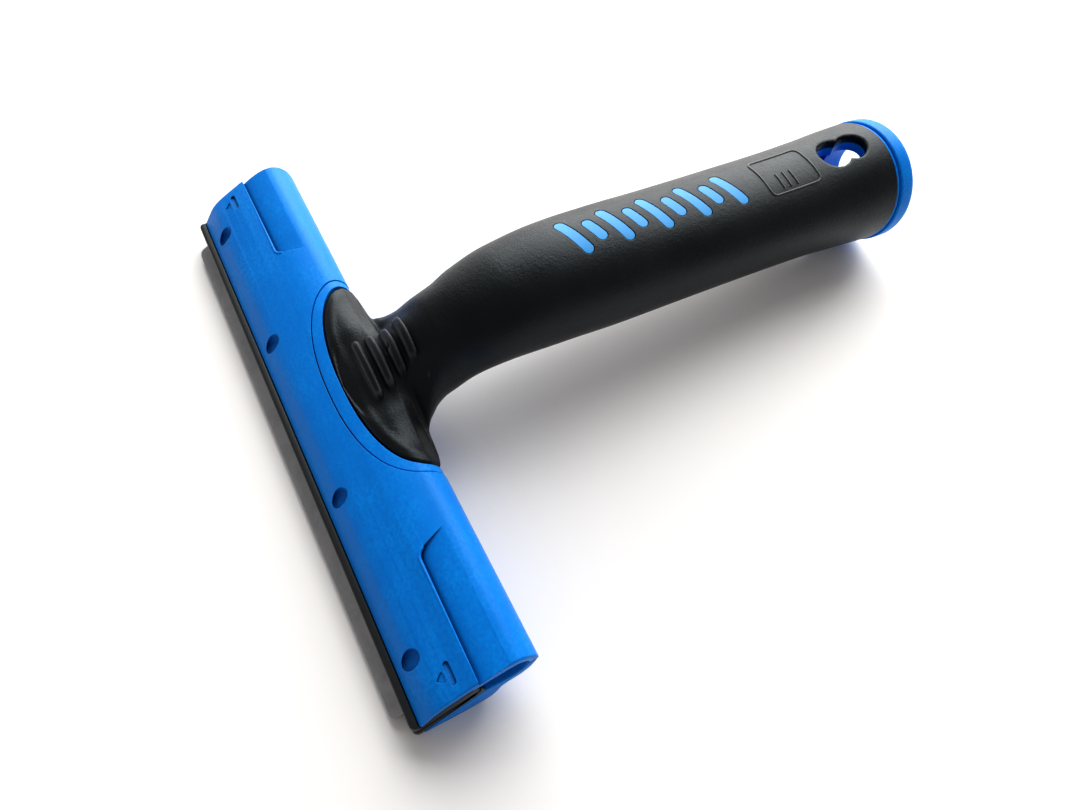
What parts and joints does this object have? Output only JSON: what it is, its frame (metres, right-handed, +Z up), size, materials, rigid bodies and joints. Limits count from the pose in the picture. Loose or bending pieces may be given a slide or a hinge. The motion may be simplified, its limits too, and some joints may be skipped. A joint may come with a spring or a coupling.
{
  "type": "wide blade hand scraper",
  "caption": "Hand scraper: a wide hollow head, a blade holder that slides out endways, and a cranked soft-grip handle with a hanging hole.",
  "frame": {"origin": "middle of the head, on the table that the head's flat underside lies on", "axes": "+X along the head, +Y from the blade's edge to the handle's end, +Z up"},
  "size_m": [0.16, 0.1893, 0.0419],
  "materials": {
    "blue_plastic": "satin moulded, fine spark texture",
    "holder_plastic": "satin moulded",
    "soft_grip": "matte soft-touch, fine grain",
    "blade_steel": "ground, with fine scratches along the edge",
    "spring_steel": "rolled",
    "screw_steel": "zinc plated"
  },
  "bodies": {
    "head": {"head_upper_shell": "blue_plastic", "head_lower_shell": "blue_plastic", "detent_spring_1": "spring_steel", "detent_spring_2": "spring_steel", "handle_core": "blue_plastic", "grip_sleeve": "soft_grip", "end_ring": "blue_plastic", "shell_screw_1": "screw_steel", "shell_screw_2": "screw_steel", "shell_screw_3": "screw_steel", "shell_screw_4": "screw_steel", "neck_screw_1": "screw_steel", "neck_screw_2": "screw_steel"},
    "holder": {"holder_upper_jaw": "holder_plastic", "holder_lower_jaw": "holder_plastic", "holder_pin_1": "screw_steel", "holder_pin_2": "screw_steel", "holder_pin_3": "screw_steel", "holder_pin_4": "screw_steel"},
    "blade": {"blade": "blade_steel"}
  },
  "joints": [
    {"name": "holder_slide", "type": "slide", "parent": "head", "child": "holder", "axis": [1, 0, 0], "range_m": [-0.165, 0.165]},
    {"name": "blade_draw", "type": "slide", "parent": "holder", "child": "blade", "axis": [0, -0.8949, -0.4462], "range_m": [0, 0.016]}
  ]
}
